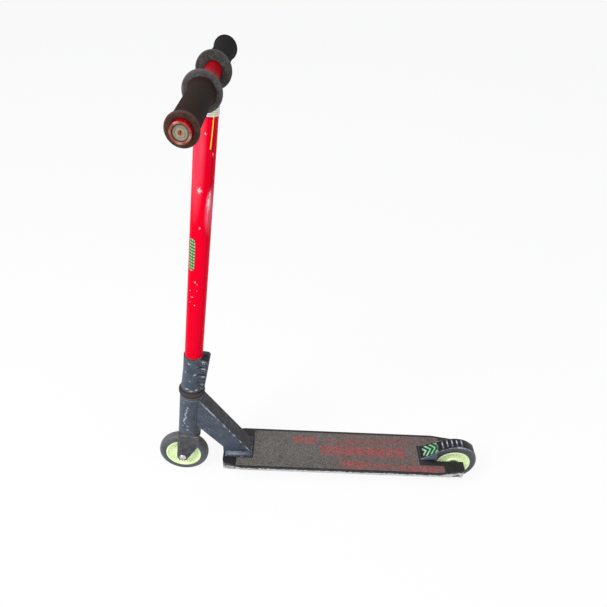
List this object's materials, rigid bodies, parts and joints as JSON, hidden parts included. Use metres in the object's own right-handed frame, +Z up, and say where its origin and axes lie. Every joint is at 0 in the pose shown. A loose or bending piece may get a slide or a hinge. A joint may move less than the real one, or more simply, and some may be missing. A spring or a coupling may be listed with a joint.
{
  "type": "stunt scooter",
  "caption": "Stunt scooter with a T-bar that steers in a leaning headset, a flat gritted deck, solid wheels on ball bearings and a flex brake over the rear wheel.",
  "frame": {"origin": "on the ground, midway between the two axles, in the scooter's mid-plane", "axes": "+Z up, -X forward, +Y towards the rider's right"},
  "size_m": [0.661, 0.4104, 0.7817],
  "materials": {
    "bar_red": "glossy red paint",
    "slate_paint": "satin slate blue-grey paint, scuffed",
    "fork_black": "black paint, worn brown at the edges",
    "deck_black": "black paint worn to bare silver along the edges",
    "grit_sheet": "dusty black grit",
    "brake_plastic": "glossy black with green stripes",
    "black_steel": "blackened steel",
    "bearing_steel": "ground steel",
    "bolt_steel": "zinc-plated steel",
    "seal_rubber": "smooth black",
    "shim_aluminium": "plain turned",
    "grip_rubber": "dusty brown-black",
    "plug_plastic": "greenish grey",
    "label_film": null,
    "tie_plastic": "yellow",
    "tyre_urethane": "dirty dark grey urethane",
    "core_lime": "pale lime green"
  },
  "bodies": {
    "frame": {"deck": "deck_black", "neck": "slate_paint", "head_tube": "slate_paint", "grip_tape": "grit_sheet", "brake_foot": "brake_plastic", "brake_bolt_left": "black_steel", "brake_bolt_right": "black_steel", "upper_headset_cup": "slate_paint", "lower_headset_cup": "slate_paint", "upper_headset_bearing": "bearing_steel", "lower_headset_bearing": "bearing_steel", "rear_axle_bolt": "bolt_steel", "rear_axle_nut": "bolt_steel", "rear_spacer_left": "bearing_steel", "rear_spacer_right": "bearing_steel"},
    "front_end": {"fork": "fork_black", "crown_race": "bearing_steel", "headset_seal": "seal_rubber", "clamp": "slate_paint", "clamp_bolt_1": "black_steel", "clamp_bolt_2": "black_steel", "clamp_bolt_3": "black_steel", "clamp_bolt_4": "black_steel", "clamp_shim": "shim_aluminium", "compression_cap": "bolt_steel", "compression_bolt": "bolt_steel", "star_nut": "bolt_steel", "bar_down_tube": "bar_red", "crossbar": "bar_red", "grip_left": "grip_rubber", "grip_right": "grip_rubber", "bar_plug_left": "plug_plastic", "bar_plug_right": "plug_plastic", "label_band": "label_film", "label_tie": "tie_plastic", "front_axle_bolt": "bolt_steel", "front_axle_nut": "bolt_steel", "front_spacer_left": "bearing_steel", "front_spacer_right": "bearing_steel"},
    "front_wheel": {"front_tyre": "tyre_urethane", "front_core": "core_lime", "front_bearing_left": "bearing_steel", "front_bearing_right": "bearing_steel", "front_bearing_spacer": "bearing_steel"},
    "rear_wheel": {"rear_tyre": "tyre_urethane", "rear_core": "core_lime", "rear_bearing_left": "bearing_steel", "rear_bearing_right": "bearing_steel", "rear_bearing_spacer": "bearing_steel"},
    "brake": {"brake_blade": "brake_plastic"}
  },
  "joints": [
    {"name": "steering", "type": "hinge", "parent": "frame", "child": "front_end", "pos_m": [-0.27186, 0, 0.04903], "axis": [0.112, 0, 0.9937], "continuous": true},
    {"name": "front_wheel_spin", "type": "hinge", "parent": "front_end", "child": "front_wheel", "pos_m": [-0.2805, 0, 0.05], "axis": [0, 1, 0], "continuous": true},
    {"name": "rear_wheel_spin", "type": "hinge", "parent": "frame", "child": "rear_wheel", "pos_m": [0.2805, 0, 0.05], "axis": [0, 1, 0], "continuous": true},
    {"name": "brake_flex", "type": "hinge", "parent": "frame", "child": "brake", "pos_m": [0.24228, 0, 0.0882], "axis": [0, 1, 0], "range_deg": [0, 1.55], "stiffness_Nm_per_rad": 12, "springref_deg": -0.57}
  ]
}
